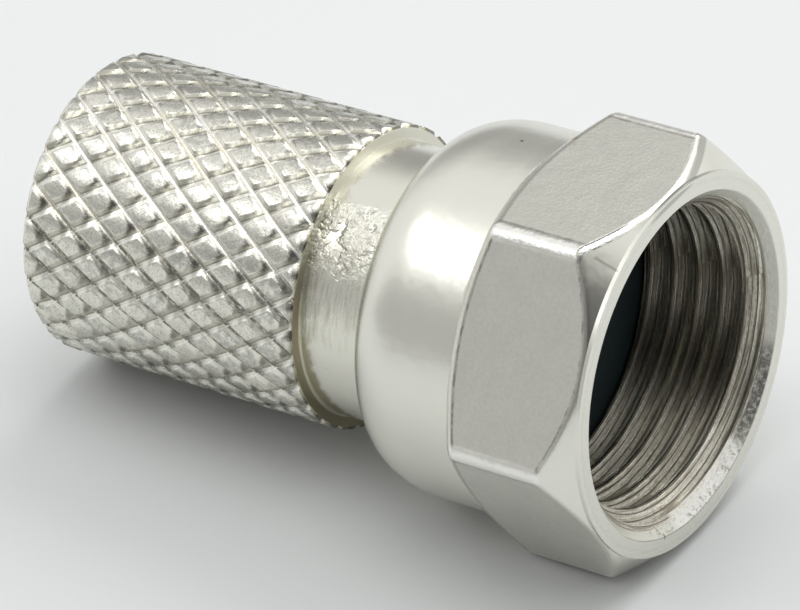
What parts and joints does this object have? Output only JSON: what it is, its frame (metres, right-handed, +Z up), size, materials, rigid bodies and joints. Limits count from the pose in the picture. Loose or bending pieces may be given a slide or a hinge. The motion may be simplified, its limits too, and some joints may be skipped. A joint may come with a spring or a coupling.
{
  "type": "f connector",
  "caption": "Twist-on coaxial F plug: diamond-knurled cable sleeve with a freely turning hex coupling nut and a rubber sealing washer.",
  "frame": {"origin": "centre of the body flange's front face, where the dielectric hole opens", "axes": "+X along the plug's axis, out of the mating end; +Z up with a hex flat lying down; +Y to the left seen from behind the cable"},
  "size_m": [0.0196, 0.0128, 0.011],
  "materials": {
    "body": "bright nickel plating over brass, polished neck, knurl worn warm in the grooves",
    "nut": "satin nickel plating over brass, brighter on the turned collar",
    "gasket": "matte dark rubber"
  },
  "bodies": {
    "body": {"body": "body", "gasket": "gasket"},
    "coupling_nut": {"coupling_nut": "nut"}
  },
  "joints": [
    {"name": "nut_swivel", "type": "hinge", "parent": "body", "child": "coupling_nut", "pos_m": [0, 0, 0], "axis": [1, 0, 0], "continuous": true}
  ]
}
